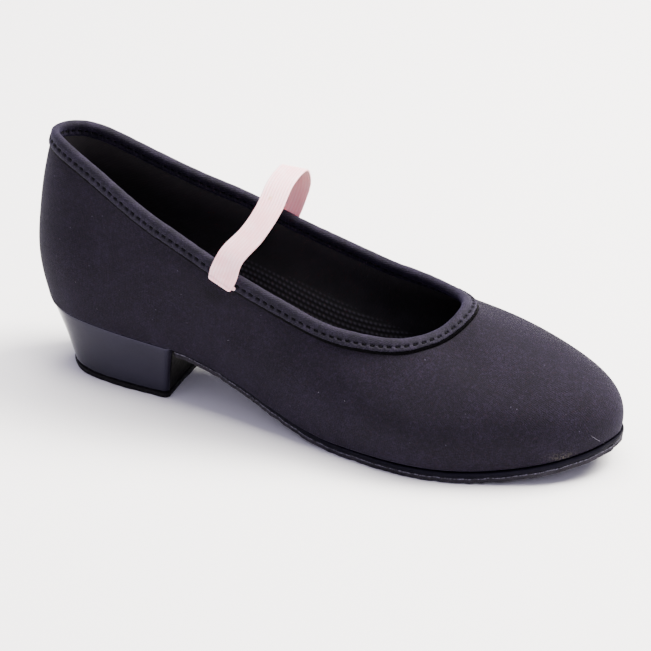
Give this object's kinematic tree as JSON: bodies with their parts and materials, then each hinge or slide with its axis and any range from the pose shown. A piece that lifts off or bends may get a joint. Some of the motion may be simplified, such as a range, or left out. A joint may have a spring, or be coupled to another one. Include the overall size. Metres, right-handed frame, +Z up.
{
  "type": "character dance shoe",
  "caption": "Low-heeled slip-on dance shoe for the right foot: canvas upper with bound topline, elastic instep strap, flexible sole, block heel.",
  "frame": {"origin": "centre of the underside of the heel lift, on the floor", "axes": "+X to the toe, +Y to the inner side of the foot, +Z up"},
  "size_m": [0.2433, 0.0796, 0.0985],
  "materials": {
    "canvas": "matte",
    "binding_tape": "matte",
    "sock_lining": "satin",
    "board_edge": "satin",
    "suede": "matte",
    "heel_cover": "gloss",
    "lift_rubber": "matte",
    "elastic": "matte"
  },
  "bodies": {
    "root": {"upper": "canvas", "topline_binding": "binding_tape", "insole": "sock_lining", "midsole": "board_edge", "outsole": "suede", "heel": "heel_cover", "heel_lift": "lift_rubber", "strap": "elastic"}
  },
  "joints": []
}
